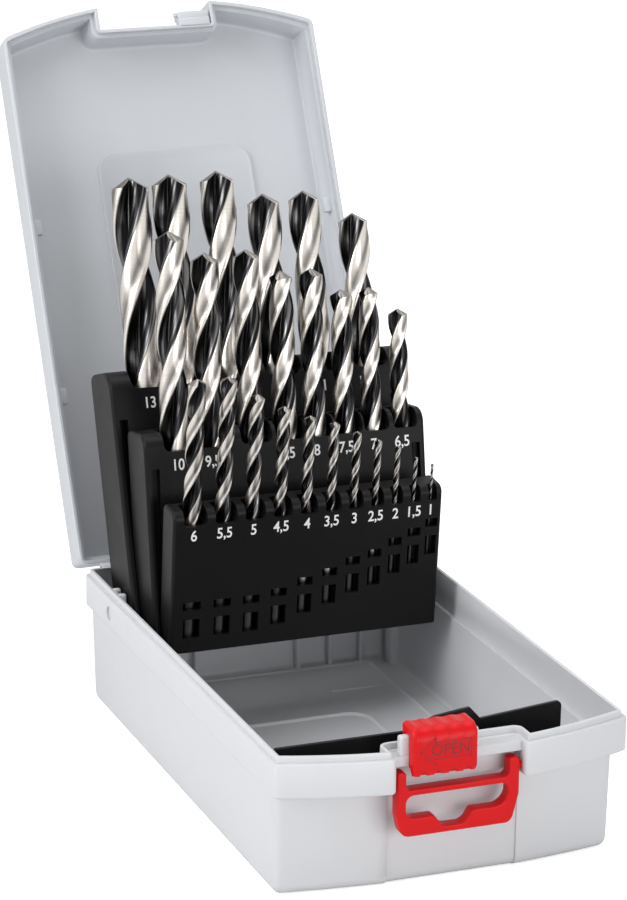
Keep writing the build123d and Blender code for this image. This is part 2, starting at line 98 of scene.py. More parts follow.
def new_material(name, viewport):
    """An empty material with its shader, and the shader's tree."""
    material = bpy.data.materials.new(name)
    material.use_nodes = True
    material.diffuse_color = (*viewport, 1)
    tree = material.node_tree
    return material, tree, tree.nodes["Principled BSDF"]


# %% [markdown]
# Moulded plastic is never a mirror. The mould is spark eroded, which leaves a fine grain, and the wall
# cools unevenly, which leaves broad soft waves. Three plastics share this, so it is a node group with
# its own sizes: it gives a roughness and a normal, and each material keeps its own shader and colour.

# %% The grain of moulded plastic


def moulded_grain():
    tree = bpy.data.node_groups.new("Moulded grain", "ShaderNodeTree")
    face = tree.interface
    for name, value in (("Grain size", 0.0003), ("Grain depth", 0.1), ("Roughness", 0.4),
                        ("Unevenness", 0.08), ("Wave depth", 0.05)):
        face.new_socket(name, in_out="INPUT", socket_type="NodeSocketFloat").default_value = value
    face.new_socket("Roughness", in_out="OUTPUT", socket_type="NodeSocketFloat")
    face.new_socket("Normal", in_out="OUTPUT", socket_type="NodeSocketVector")
    given = add(tree, "NodeGroupInput").outputs
    place = add(tree, "ShaderNodeTexCoord").outputs["Object"]
    scale = add(tree, "ShaderNodeMath", {"operation": "DIVIDE"}, _0=1.0, _1=given["Grain size"])
    fine = add(tree, "ShaderNodeBump", Strength=given["Grain depth"], Distance=0.0002,
               Height=noise(tree, place, scale.outputs[0]))
    soft = add(tree, "ShaderNodeBump", Strength=given["Wave depth"], Distance=0.002,
               Height=noise(tree, place, 60.0, 1.0), Normal=fine.outputs[0])
    middle = add(tree, "ShaderNodeMath", {"operation": "SUBTRACT"}, _0=noise(tree, place, 140.0, 3.0),
                 _1=0.5)
    rough = add(tree, "ShaderNodeMath", {"operation": "MULTIPLY_ADD"}, _0=middle.outputs[0],
                _1=given["Unevenness"], _2=given["Roughness"])
    add(tree, "NodeGroupOutput", _0=rough.outputs[0], _1=soft.outputs[0])
    return tree


grain_group = moulded_grain()


def plastic(name, colour, roughness, depth, wave=0.05, specular=0.5):
    """A moulded plastic; depth and wave are the strengths of its grain and of its broad waves."""
    material, tree, shader = new_material(name, colour)
    group = add(tree, "ShaderNodeGroup", {"node_tree": grain_group}, Grain_depth=depth,
                Roughness=roughness, Wave_depth=wave)
    place = add(tree, "ShaderNodeTexCoord").outputs["Object"]
    darker = [value * 0.965 for value in colour]
    feed(tree, shader, Base_Color=mixed(tree, noise(tree, place, 45.0), darker, colour),
         Roughness=group.outputs["Roughness"], Normal=group.outputs["Normal"],
         Specular_IOR_Level=specular)
    return material


tray_plastic = plastic("tray plastic", (0.585, 0.595, 0.615), 0.42, depth=0.06)
# Painted shade: the lid gets the tray's grey made darker and bluer, for the shade on its open inner face.
shaded_lid_plastic = plastic("lid plastic", (0.53, 0.55, 0.58), 0.42, depth=0.06)
rack_plastic = plastic("rack plastic", (0.0055, 0.0053, 0.0058), 0.4, depth=0.12, wave=0.1,
                       specular=0.14)
divider_plastic = plastic("divider plastic", (0.003, 0.003, 0.0035), 0.34, depth=0.04, specular=0.2)
red_plastic = plastic("red plastic", (0.60, 0.003, 0.006), 0.38, depth=0.05, specular=0.2)
print("plastics:", [m.name for m in bpy.data.materials if "plastic" in m.name])

# %% [markdown]
# The white numbers are a thin film of paint, the latch's engraving is a darker red as painted shade, and the pins
# are drawn steel wire.

# %% Paint, painted shade and pin steel


# A matte film: real paint for the numbers, and painted shade for the latch engraving.
def paint(name, colour):
    material, tree, shader = new_material(name, colour)
    place = add(tree, "ShaderNodeTexCoord").outputs["Object"]
    darker = [value * 0.85 for value in colour]
    feed(tree, shader, Base_Color=mixed(tree, noise(tree, place, 1800.0), darker, colour), Roughness=0.5)
    return material


number_paint = paint("number paint", (0.86, 0.86, 0.85))
# Painted shade: the engraving's darker red stands in for the shade in its grooves.
red_shade = paint("red engraving painted shade", (0.22, 0.002, 0.004))


def pin_metal():
    material, tree, shader = new_material("pin steel", (0.6, 0.6, 0.6))
    place = add(tree, "ShaderNodeTexCoord").outputs["Object"]
    stretch = add(tree, "ShaderNodeMapping", Vector=place, Scale=(60, 4000, 4000))
    bump = add(tree, "ShaderNodeBump", Strength=0.1, Distance=0.0001,
               Height=noise(tree, stretch.outputs[0], 1.0))
    feed(tree, shader, Base_Color=(0.6, 0.6, 0.61, 1), Metallic=1.0, Roughness=0.3,
         Normal=bump.outputs[0])
    return material


pin_steel = pin_metal()

# %% [markdown]
# The racks and the pins keep the mesh of their CAD part. They only get the finish of the real piece.

# %% Dress the racks and the pins


def coat(mesh, material):
    mesh.materials.clear()
    mesh.materials.append(material)


finishes = {rack_plastic: ("rear_rack", "middle_rack", "front_rack", "trunnion_pin_left",
                           "trunnion_pin_right"),
            pin_steel: ("hinge_pin_left", "hinge_pin_right")}
for material, names in finishes.items():
    for name in names:
        coat(nodes[name].data, material)
print("dressed:", sum(len(names) for names in finishes.values()), "nodes")

# %% [markdown]
# The drills are what the eye goes to. A twist drill is one rule: a section with two flutes turns
# steadily as it climbs, the flutes run out into a round shank, and a cone cuts the end into two lips.
# A rule like that suits Geometry Nodes. A flat grid is bent into the drill by arithmetic on the row and
# column of each point, so one tree makes all 25 from their diameter, length and helix.
# This little class lets the arithmetic be written as it would be on paper.

# %% Arithmetic inside a node tree


class Field:
    """A value that a node tree works out for every point."""

    def __init__(self, tree, socket):
        self.tree = tree
        self.socket = socket

    def math(self, operation, *others, swap=False):
        values = [value.socket if isinstance(value, Field) else value for value in (self, *others)]
        if swap:
            values.reverse()
        slots = {"_" + str(number): value for number, value in enumerate(values)}
        node = add(self.tree, "ShaderNodeMath", {"operation": operation}, **slots)
        return Field(self.tree, node.outputs[0])

    def __add__(self, other):
        return self.math("ADD", other)

    def __sub__(self, other):
        return self.math("SUBTRACT", other)

    def __rsub__(self, other):
        return self.math("SUBTRACT", other, swap=True)

    def __mul__(self, other):
        return self.math("MULTIPLY", other)

    def __truediv__(self, other):
        return self.math("DIVIDE", other)

    def least(self, other):
        return self.math("MINIMUM", other)

    def most(self, other):
        return self.math("MAXIMUM", other)

    def between(self, low, high):
        """0 below low, 1 above high and a smooth step from one to the other."""
        ends = [value.socket if isinstance(value, Field) else value for value in (low, high)]
        return Field(self.tree, ramp(self.tree, self.socket, *ends))

    def curve(self, points):
        """A graph through the given points."""
        node = self.tree.nodes.new("ShaderNodeFloatCurve")
        line = node.mapping.curves[0]
        line.points[0].location = points[0]
        line.points[1].location = points[-1]
        for x, y in points[1:-1]:
            line.points.new(x, y)
        node.mapping.update()
        self.tree.links.new(self.socket, node.inputs["Value"])
        return Field(self.tree, node.outputs[0])


# %% [markdown]
# The section, read round half a turn: the land's body sits a little below its margin, so that only the
# margin rubs. Then comes the cutting face, steep and almost radial, the thin web at the flute's bottom,
# and a gentle climb to the heel of the next land. The second graph says how far behind the cutting lip
# a point lies, because the end face falls away behind the lip.

# %% The tree for a twist drill
land_share = 0.43
section_graph = [(0.0, 0.965), (0.02, 0.968), (land_share - 0.075, 0.968), (land_share - 0.06, 1.0),
                 (land_share, 1.0), (0.49, 0.66), (0.54, 0.38), (0.60, 0.22), (0.70, 0.26),
                 (0.80, 0.45), (0.90, 0.76), (0.97, 0.93), (1.0, 0.965)]
behind_graph = [(0.0, 1.0), (land_share, 0.0), (1.0, 1.0)]
around = 64
foot_rows = 2
body_rows = 150
point_rows = 9
runout_low, runout_high = 0.3, 1.1      # where the flutes end, in diameters below and above the shank
foot_share = 0.86                       # the foot's flat face, as a share of the radius
chamfer_share = 0.04                    # and how far its edge is drawn up, in diameters
flute_edge = (0.035, 0.075)             # how deep the black begins, as a share of the radius
point_edge = 30                         # how sharply the ground point begins


def drill_tree():
    tree = bpy.data.node_groups.new("Twist drill", "GeometryNodeTree")
    tree.interface.new_socket("Drill", in_out="OUTPUT", socket_type="NodeSocketGeometry")
    for name in ("Diameter", "Length", "Flute length", "Helix pitch", "Point slope", "Relief"):
        tree.interface.new_socket(name, in_out="INPUT", socket_type="NodeSocketFloat")
    tree.interface.new_socket("Steel", in_out="INPUT", socket_type="NodeSocketMaterial")
    given = add(tree, "NodeGroupInput").outputs

    def value(name):
        return Field(tree, given[name])

    columns = 2 * around + 1
    rows = foot_rows + body_rows + point_rows + 1
    grid = add(tree, "GeometryNodeMeshGrid", Vertices_X=rows, Vertices_Y=columns)
    index = Field(tree, add(tree, "GeometryNodeInputIndex").outputs[0])
    column = index.math("MODULO", columns)
    row = (index / columns).math("FLOOR")
    half_turn = (column / around).math("FRACT")
    section = half_turn.curve(section_graph)
    behind = half_turn.curve(behind_graph)

    climb = ((row - foot_rows) / body_rows).most(0.0).least(1.0)
    height = climb * value("Length")
    shank = value("Length") - value("Flute length")
    fluted = height.between(shank - value("Diameter") * runout_low,
                            shank + value("Diameter") * runout_high)
    radial = 1.0 - (1.0 - section) * fluted
    rest = 1 - foot_share
    foot = (row * foot_share).least(foot_share) + ((row - 1).most(0.0) * rest).least(rest)
    past = ((row - foot_rows - body_rows) / point_rows).most(0.0)
    spread = foot * (1.0 - past * past)
    radius = value("Diameter") * 0.5 * radial * spread
    chamfer = (1.0 - row / foot_rows).most(0.0) * value("Diameter") * -chamfer_share
    near_point = height.between(value("Length") - value("Diameter") * 0.5, value("Length"))
    fall = radius * behind * near_point * value("Relief")
    level = (height - climb * radius * value("Point slope") - fall + chamfer
             + value("Diameter") * chamfer_share)
    turn = column * (pi / around) + height / value("Helix pitch") * (2 * pi)
    place = add(tree, "ShaderNodeCombineXYZ", X=(radius * turn.math("COSINE")).socket,
                Y=(radius * turn.math("SINE")).socket, Z=level.socket)
    bent = add(tree, "GeometryNodeSetPosition", Geometry=grid.outputs["Mesh"],
               Position=place.outputs[0])

    def store(geometry, name, socket, kind="FLOAT"):
        return add(tree, "GeometryNodeStoreNamedAttribute", {"data_type": kind, "domain": "POINT"},
                   Geometry=geometry, Name=name, Value=socket).outputs[0]

    flute = (1.0 - section) * fluted
    flute_mask = flute.between(*flute_edge) * (1.0 - past * point_edge).most(0.0)
    geometry = store(bent.outputs[0], "flute", flute_mask.socket)
    geometry = store(geometry, "ground_end", (past * point_edge).least(1.0).socket)
    lengthwise = add(tree, "ShaderNodeCombineXYZ", X=(column * (pi / around) * value("Diameter")).socket,
                     Y=radius.socket, Z=level.socket)
    geometry = store(geometry, "lengthwise", lengthwise.outputs[0], "FLOAT_VECTOR")
    merged = add(tree, "GeometryNodeMergeByDistance", Geometry=geometry, Distance=0.000004)
    real = add(tree, "GeometryNodeRealizeInstances", Geometry=merged.outputs[0])
    steel = add(tree, "GeometryNodeSetMaterial", Geometry=real.outputs[0], Material=given["Steel"])
    add(tree, "NodeGroupOutput", Drill=steel.outputs[0])
    return tree


twist_drill = drill_tree()
print("twist drill tree:", len(twist_drill.nodes), "nodes")

# %% [markdown]
# High-speed steel is blackened all over in a hot oxide bath, and then the lands, the point and the shank
# are ground bright. So one material reads the masks that the tree stored: dark in the flutes with soft
# streaks of painted sheen along the helix, bright with fine grinding lines round the lands, and grey on
# the ground point. The foot stands deep in its socket, and its shade there is painted in as almost black.

# %% Drill steel


def drill_metal():
    material, tree, shader = new_material("drill steel", (0.6, 0.6, 0.58))

    def mask(name, output="Fac"):
        return add(tree, "ShaderNodeAttribute", {"attribute_name": name}).outputs[output]

    def drawn_out(scale):
        stretch = add(tree, "ShaderNodeMapping", Vector=along, Scale=scale)
        return noise(tree, stretch.outputs[0], 1.0, 3.0)

    along = mask("lengthwise", "Vector")
    lines = drawn_out((60, 60, 9000))
    # Painted sheen: grey streaks along the helix in the black flutes stand in for reflections.
    painted_sheen_streaks = ramp(tree, drawn_out((650, 60, 40)), 0.45, 0.72)
    bright = mixed(tree, lines, (0.58, 0.53, 0.48), (0.90, 0.86, 0.81))
    ground = mixed(tree, mask("ground_end"), bright, (0.22, 0.205, 0.195))
    dark = mixed(tree, painted_sheen_streaks, (0.012, 0.012, 0.013), (0.20, 0.195, 0.20))
    colour = mixed(tree, mask("flute"), ground, dark)
    height = add(tree, "ShaderNodeSeparateXYZ", Vector=along).outputs["Z"]
    # Painted shade: the foot is darkened to almost black where it stands deep in its socket.
    painted_socket_shade = ramp(tree, height, 0.016, 0.019, 0.9, 0.0)
    bump = add(tree, "ShaderNodeBump", Strength=0.12, Distance=0.00005, Height=lines)
    feed(tree, shader, Base_Color=mixed(tree, painted_socket_shade, colour, (0.02, 0.02, 0.021)), Metallic=1.0,
         Roughness=ramp(tree, lines, 0.0, 1.0, 0.24, 0.36, "LINEAR"), Normal=bump.outputs[0])
    return material


drill_steel = drill_metal()

# %% [markdown]
# Where does each drill stand? Its CAD solid says so. The long direction of its points is the axis, the
# lowest of them surround the foot, and the highest is the point. The number in the node's name is the
# diameter in millimetres.

# %% Read each drill's place from its solid


def drill_diameter(name):
    return float(name[len("drill_"):].replace("_", ".")) * MM


def points_of(name):
    mesh = nodes[name].data
    points = np.empty(3 * len(mesh.vertices), np.float32)
    mesh.vertices.foreach_get("co", points)
    return points.reshape(-1, 3).astype(float)


def standing(name):
    """The foot and the unit direction of a drill, and its length."""
    points = points_of(name)
    tip = points[points[:, 2].argmax()]
    middle = np.linalg.svd(points - points.mean(0), full_matrices=False)[2][0]
    axis = middle if middle[2] > 0 else -middle
    for _ in range(3):
        along = (points - tip) @ axis
        ring = points[along < along.min() + 0.05 * MM]
        foot = (ring.min(0) + ring.max(0)) / 2
        axis = (tip - foot) / np.linalg.norm(tip - foot)
    return Vector(foot), Vector(axis), float(np.linalg.norm(tip - foot))


drill_names = [name for name in nodes if name.startswith("drill_")]
places = {name: standing(name) for name in drill_names}
print("13 mm drill is", round(places["drill_13_0"][2] / MM, 2), "mm long")

# %% [markdown]
# Each drill is the same tree with its own sizes. The flutes take the share of the length that jobber
# drills have, and the pitch follows from the diameter and the helix angle. The modifier's inputs are set
# by each socket's identifier, the result is turned into a plain mesh, and the modifier goes with the
# carrier object.

# %% Make the 25 drills
helix_angles = {"rear_rack": radians(25.5), "middle_rack": radians(26.5), "front_rack": radians(28.5)}
point_angle = radians(118)
relief = 0.16
flute_shares = [(1.0, 0.40), (2.0, 0.52), (4.0, 0.58), (6.0, 0.61), (9.5, 0.65), (13.0, 0.67)]
# How far each drill happens to be turned in its socket, by its diameter, in radians at the point.
tip_turns = {1: 1.7, 1.5: 1.7, 2: 1.7, 2.5: 1.7, 3: 2.0, 3.5: 1.3, 4: 1.75, 4.5: 1.5, 5: 1.2, 5.5: 1.9,
             6: 2.9, 6.5: 1.75, 7: 1.0, 7.5: 1.3, 8: 1.65, 8.5: 1.0, 9: 2.0, 9.5: 1.9, 10: 1.75,
             10.5: 2.2, 11: 2.2, 11.5: 2.2, 12: 2.4, 12.5: 2.35, 13: 2.6}


def flute_share(diameter):
    sizes, shares = zip(*flute_shares)
    return float(np.interp(diameter / MM, sizes, shares))


def set_inputs(modifier, **values):
    names = {item.name: item.identifier for item in modifier.node_group.interface.items_tree}
    for name, value in values.items():
        modifier[names[name.replace("_", " ")]] = value


def body_of_node(name):
    return next(body for body, members in bodies.items() if name in members)


def worked_out(name, data, prepare=None, *others):
    """The mesh that an object's data and modifiers come to. The carriers only live in here."""
    carriers = [bpy.data.objects.new(name, data), *others]
    if prepare:
        prepare(carriers[0])
    for carrier in carriers:
        bpy.context.scene.collection.objects.link(carrier)
    graph = bpy.context.evaluated_depsgraph_get()
    mesh = bpy.data.meshes.new_from_object(carriers[0].evaluated_get(graph))
    for carrier in carriers:
        bpy.data.objects.remove(carrier)
    return mesh


def settle(mesh, name, body, sharp=40):
    """Makes the finished object at the origin, smooth apart from its sharp edges, on its body."""
    mesh.polygons.foreach_set("use_smooth", [True] * len(mesh.polygons))
    mesh.set_sharp_from_angle(angle=radians(sharp))
    piece = bpy.data.objects.new(name, mesh)
    bpy.context.scene.collection.objects.link(piece)
    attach(piece, body)
    return piece


def make_drill(name):
    foot, axis, length = places[name]
    diameter = drill_diameter(name)
    helix_angle = helix_angles[body_of_node(name)]

    def grow(carrier):
        modifier = carrier.modifiers.new("drill", "NODES")
        modifier.node_group = twist_drill
        set_inputs(modifier, Diameter=diameter, Length=length, Relief=relief, Steel=drill_steel,
                   Flute_length=length * flute_share(diameter),
                   Helix_pitch=pi * diameter / tan(helix_angle), Point_slope=1 / tan(point_angle / 2))

    mesh = worked_out("carrier", bpy.data.meshes.new("carrier"), grow)
    tilt = Vector((0, 0, 1)).rotation_difference(axis).to_matrix().to_4x4()
    turns = length * tan(helix_angle) / (pi * diameter)
    spin = Matrix.Rotation(tip_turns[round(2000 * diameter) / 2] - 2 * pi * turns, 4, "Z")
    mesh.transform(Matrix.Translation(foot) @ tilt @ spin)
    piece = settle(mesh, name.replace("drill", "twist_drill"), body_of_node(name))
    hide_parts(name)
    return len(mesh.polygons)


faces = [make_drill(name) for name in drill_names]
print("drills:", len(faces), "with", sum(faces), "faces")

# %% [markdown]
# Each socket carries its size in white on the rack's sloping front. A rack's own frame makes this easy:
# it stands on the trunnion axis, and the hinge's range says how far it leans from upright, because all
# racks fold down to level. The number's height is a size of the real rack; its place along the rack is
# where the drill's axis crosses that height.

# %% The racks' frames and the numbers
number_size = 5.265
number_bold = 0.07
number_rise = {"rear_rack": 68.8, "middle_rack": 51.7, "front_rack": 40.1}
number_shift = {"rear_rack": -1.5, "middle_rack": -1.3, "front_rack": -0.5}
number_narrow = 0.86
number_film = 0.04


def rack_matrix(rack):
    """From a rack's frame (X right, Y back, Z up the rack) to the case's frame."""
    joint = joints[rack + "_hinge"]
    lean = radians(joint["range_deg"][1] - 90)
    return Matrix.Translation(Vector(joint["pos_m"])) @ Matrix.Rotation(-lean, 4, "X")


def rack_front(rack):
    """How far the front face lies in front of the rack's hinge axis."""
    local = rack_matrix(rack).inverted()
    return max(-(local @ Vector(point)).y for point in points_of(rack))


def word_mesh(text, size, narrow=1.0, bold=0.0, film=number_film):
    """Flat lettering, centred on the origin, with the film's thickness towards the reader."""
    letters = bpy.data.curves.new("letters", "FONT")
    letters.body = text
    letters.size = size * MM
    letters.align_x = "CENTER"
    letters.align_y = "CENTER"
    letters.offset = bold * MM
    letters.extrude = film * MM / 2
    mesh = worked_out("letters", letters)
    mesh.transform(Matrix.Rotation(pi / 2, 4, "X") @ Matrix.Diagonal((narrow, 1, 1, 1)))
    return mesh


def finished(built, name):
    """Turns the mesh that was built into a kept one."""
    mesh = bpy.data.meshes.new(name)
    built.to_mesh(mesh)
    built.free()
    return mesh


def join_meshes(name, meshes):
    joined = bmesh.new()
    for mesh in meshes:
        joined.from_mesh(mesh)
    return finished(joined, name)


def number_text(diameter):
    value = round(diameter / MM, 1)
    return str(int(value)) if value == int(value) else str(value).replace(".", ",")


def print_numbers(rack):
    place = rack_matrix(rack)
    local = place.inverted()
    front = rack_front(rack)
    words = []
    for name in bodies[rack]:
        if name not in places:
            continue
        foot, axis, _ = places[name]
        start = local @ foot
        rise = local.to_3x3() @ axis
        x = start.x + rise.x / rise.z * (number_rise[rack] * MM - start.z) + number_shift[rack] * MM
        word = word_mesh(number_text(drill_diameter(name)), number_size, number_narrow, number_bold)
        spot = Vector((x, -front - number_film * MM, number_rise[rack] * MM))
        word.transform(place @ Matrix.Translation(spot))
        words.append(word)
    mesh = join_meshes("numbers " + rack, words)
    coat(mesh, number_paint)
    piece = settle(mesh, "numbers_" + rack, rack, 20)
    return len(words)


print("numbers:", [print_numbers(rack) for rack in number_rise])

# %% [markdown]
# Tray and lid are thin shells, so each is a stack of outlines joined ring to ring: up the outside, over
# the rim, and down the inside. An outline is a few corners, each with its own radius, and always has the
# same count of points, so that any two can be joined. The latch gap is part of it. The foot, the collar
# and the lid's edge are only more rings, set in by the share that a rounding asks for.

# %% Outlines and rings
corner_steps = 5
front_steps = 9
rounding_rings = 6
side = dict(half=56.1, back=91.2, front=-89.2, bow=5.0, corner=3.4, left=-20.5, right=22.1,
            wall=-92.7, widen=0)
collar = dict(half=57.8, back=92.0, front=-95.2, bow=10.5, corner=2.6, left=-21.9, right=19.6,
              wall=-96.2, widen=1)
wall_thick = 2.2
side_lean = tan(radians(1.5))
collar_bottom = 34.3
rim_z = 45.5


def rounded(corners):
    """Points round a closed outline; each corner is x, y, radius and how many steps its arc has."""
    points = []
    count = len(corners)
    for number, (x, y, radius, steps) in enumerate(corners):
        here = Vector((x, y))
        before = Vector(corners[number - 1][:2]) - here
        after = Vector(corners[(number + 1) % count][:2]) - here
        if radius <= 0 or min(before.length, after.length) < 1e-6:
            points += [here] * (steps + 1)
            continue
        before.normalize()
        after.normalize()
        half = before.angle(after) / 2
        centre = here + (before + after).normalized() * radius / sin(half)
        start = here + before * radius / tan(half) - centre
        stop = here + after * radius / tan(half) - centre
        sweep = start.angle_signed(stop)
        for step in range(steps + 1):
            turned = Matrix.Rotation(-sweep * step / steps, 2) @ start
            points.append(centre + turned)
    return points


def plan(inset, z, form, end=0.0, inner=0.0, gap=True):
    """One ring of a tray or lid: a bowed front with the latch gap in it, moved inward."""
    half, back, front = form["half"] - inset, form["back"] - inset, form["front"] + inset
    left, right = form["left"] - inset * form["widen"], form["right"] + inset * form["widen"]
    wall = form["wall"] + inset

    def bowed(x):
        return front - form["bow"] * (1 - (x / half) ** 2)

    corner = max(form["corner"] - inset, 0)
    end, inner = max(end - inset, 0), inner + inset * form["widen"]
    if not gap:
        end, inner = 0, 0
    spots = np.linspace(right, half, front_steps + 1)[1:-1]
    ends = np.linspace(-half, left, front_steps + 1)[1:-1]
    corners = [(right, wall if gap else bowed(right), inner, corner_steps),
               (right, bowed(right), end, corner_steps)]
    corners += [(x, bowed(x), 0, 0) for x in spots]
    corners += [(half, front, corner, corner_steps), (half, back, corner, corner_steps),
                (-half, back, corner, corner_steps), (-half, front, corner, corner_steps)]
    corners += [(x, bowed(x), 0, 0) for x in ends]
    corners += [(left, bowed(left), end, corner_steps),
                (left, wall if gap else bowed(left), inner, corner_steps)]
    return [Vector((p.x, p.y, z)) for p in rounded(corners)]


def low_wall(inset, z, gap=True):
    """A ring of the lower walls, which lean out going up."""
    return plan(inset + (collar_bottom - z) * side_lean, z, side, 0.4, 0.3, gap)


def rim(inset, z):
    return plan(inset, z, collar, 1.5, 0.5)


def rounding(ring, radius, z, inset, first, last, **other):
    """Rings of a quarter round; the angle runs from 0 at the flat to 90 at the wall."""
    rings = []
    for angle in np.linspace(radians(first), radians(last), rounding_rings):
        rings.append(ring(inset + radius * (1 - sin(angle)), z + radius * (1 - cos(angle)), **other))
    return rings


def skin(rings, name):
    """Joins rings of equal count and closes both ends with a face."""
    built = bmesh.new()
    rows = [[built.verts.new(p * MM) for p in ring] for ring in rings]
    for row, after in zip(rows, rows[1:]):
        for number in range(len(row)):
            built.faces.new((row[number - 1], row[number], after[number], after[number - 1]))
    built.faces.new(rows[0])
    built.faces.new(rows[-1])
    bmesh.ops.remove_doubles(built, verts=built.verts, dist=0.002 * MM)
    bmesh.ops.dissolve_degenerate(built, edges=built.edges, dist=0.001 * MM)
    bmesh.ops.recalc_face_normals(built, faces=built.faces)
    return finished(built, name)


def slab(x0, x1, y0, y1, z0, z1, soft=0.25):
    """A block with softened edges."""
    built = bmesh.new()
    bmesh.ops.create_cube(built, size=1.0)
    size = Vector((x1 - x0, y1 - y0, z1 - z0))
    middle = Vector((x1 + x0, y1 + y0, z1 + z0)) / 2
    for vert in built.verts:
        vert.co = Vector(a * b for a, b in zip(vert.co, size)) + middle
    if soft:
        bmesh.ops.bevel(built, geom=built.edges, offset=soft, segments=3, profile=0.5, affect="EDGES",
                        clamp_overlap=True)
    mesh = finished(built, "slab")
    mesh.transform(Matrix.Scale(MM, 4))
    return mesh


def rod(radius, x0, x1, y, z, soft=0.15):
    """A round bar along X with softened ends."""
    built = bmesh.new()
    bmesh.ops.create_cone(built, cap_ends=True, segments=40, radius1=radius, radius2=radius,
                          depth=x1 - x0)
    rims = [edge for edge in built.edges if abs(edge.verts[0].co.z - edge.verts[1].co.z) < 1e-6]
    if soft:
        bmesh.ops.bevel(built, geom=rims, offset=soft, segments=2, profile=0.5, affect="EDGES")
    mesh = finished(built, "rod")
    mesh.transform(Matrix.Scale(MM, 4) @ Matrix.Translation(((x0 + x1) / 2, y, z))
                   @ Matrix.Rotation(pi / 2, 4, "Y"))
    return mesh


def stand_in(name, node, meshes, material, sharp=35):
    """Joins the meshes into one piece that stands for the node."""
    mesh = join_meshes(name, meshes)
    coat(mesh, material)
    piece = settle(mesh, name, body_of_node(node), sharp)
    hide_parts(node)
    return piece


hinge = joints["lid_hinge"]
hinge_y, hinge_z = hinge["pos_m"][1] / MM, hinge["pos_m"][2] / MM
trunnion_y, trunnion_z = (value / MM for value in joints["rear_rack_hinge"]["pos_m"][1:])


knuckle_radius, knuckle_half, knuckle_gap = 1.9, 3.5, 0.15
bracket_front = 91.4


def knuckles(spots, side_sign):
    """Barrels of the lid hinge with their brackets, below or above the axis."""
    made = []
    for x in spots:
        x0, x1 = x - knuckle_half, x + knuckle_half
        made.append(rod(knuckle_radius, x0, x1, hinge_y, hinge_z))
        low, high = sorted(hinge_z + side_sign * reach for reach in (knuckle_gap, knuckle_radius))
        made.append(slab(x0, x1, bracket_front, hinge_y, low, high, 0.1))
    return made


# %% The tray
foot_round, collar_round, floor_round = 3.5, 1.2, 3.0
floor_z = 2.6
tongue_top = 47.5
ledge_z = 35.4
dimple_radius, dimple_deep = 2.5, 0.8
ear_low, ear_top, ear_thick = 31, 47.6, 2.3
fork_half = 4.1
fork_inner, fork_outer, plate_inner = 52.6, 55.6, 54.8


def tray_skin():
    tongue = ((1.4, rim_z), (1.4, tongue_top - 0.3), (1.48, tongue_top - 0.1), (1.65, tongue_top),
              (2.35, tongue_top), (2.52, tongue_top - 0.1), (2.6, tongue_top - 0.3), (2.6, ledge_z))
    rings = rounding(low_wall, foot_round, 0, 0, 0, 90)
    rings.append(low_wall(0, collar_bottom))
    rings += rounding(rim, collar_round, collar_bottom, 0, 0, 90)
    rings += [rim(0, rim_z - 0.3), rim(0.1, rim_z - 0.1), rim(0.3, rim_z)]
    rings += [rim(inset, z) for inset, z in tongue]
    rings += [low_wall(wall_thick, z, gap=False) for z in (ledge_z, ledge_z - 0.3)]
    rings += rounding(low_wall, floor_round, floor_z, wall_thick, 90, 0, gap=False)
    return skin(rings, "tray skin")


def dimpled(mesh):
    """Sinks a round dimple into each side wall, on the trunnion axis."""
    rods = [rod(dimple_radius, x - dimple_deep, x + dimple_deep, trunnion_y, trunnion_z, 0)
            for x in (-collar["half"], collar["half"])]
    cutter = bpy.data.objects.new("cutter", join_meshes("cutter", rods))

    def sink(carrier):
        cut = carrier.modifiers.new("dimple", "BOOLEAN")
        cut.operation = "DIFFERENCE"
        cut.object = cutter

    return worked_out("skin", mesh, sink, cutter)


def forks():
    """The open bearings on the side walls: two ears, the seat between them and a back plate each."""
    made = []
    for sign in (-1, 1):
        low, high = sorted((sign * fork_inner, sign * fork_outer))
        for y in (trunnion_y - fork_half, trunnion_y + fork_half - ear_thick):
            made.append(slab(low, high, y, y + ear_thick, ear_low, ear_top, 0.8))
        y0, y1 = trunnion_y - fork_half, trunnion_y + fork_half
        made.append(slab(low, high, y0, y1, ear_low, trunnion_z - 2.6, 0.2))
        low, high = sorted((sign * plate_inner, sign * fork_outer))
        made.append(slab(low, high, trunnion_y - 3, trunnion_y + 3, ear_low, ear_top - 0.2, 0.1))
    return made


def raised(x_ends, y_ends, radius, profile, name, steps=8, shrink=1):
    """A low step with round corners; the profile says how far in and how high each ring lies."""
    rings = []
    for inset, z in profile:
        x0, x1 = x_ends[0] + inset, x_ends[1] - inset
        y0, y1 = y_ends[0] + inset, y_ends[1] - inset
        line = rounded([(x, y, radius - shrink * inset, steps)
                        for x, y in ((x1, y0), (x1, y1), (x0, y1), (x0, y0))])
        rings.append([Vector((p.x, p.y, z)) for p in line])
    return skin(rings, name)


step_profile = ((0, 2.0), (0, 3.4), (0.3, 3.8), (0.7, 3.8), (1.4, 3.1))
pad_profile = ((0, 2.0), (0, 3.7), (0.3, 4.2), (0.7, 4.2), (1.5, 3.4))
floor_back = 85.4
rib_spots = (-19.4, 18.2, 30.2, 41.8)


def tray_blocks():
    """Moulded details that are plain blocks: the bar on the floor, the latch rail and its block, the
    ribs on the back wall and the pillar in the right corner."""
    made = [slab(21.0, 39.7, 60.5, 61.4, floor_z, 3.7, 0.15),
            slab(-22.5, 20.2, -101.4, -95.0, 42.1, 45.25, 0.3),
            slab(-20.1, 5.5, -101.2, -98.4, 44.0, 51.6, 0.8)]
    made += [slab(x - 0.8, x + 0.8, floor_back, 90.0, 2.0, 33.5, 0.4) for x in rib_spots]
    return made + [slab(50.6, 55.0, 79.0, 85.8, 2.0, 35.2, 0.6)]


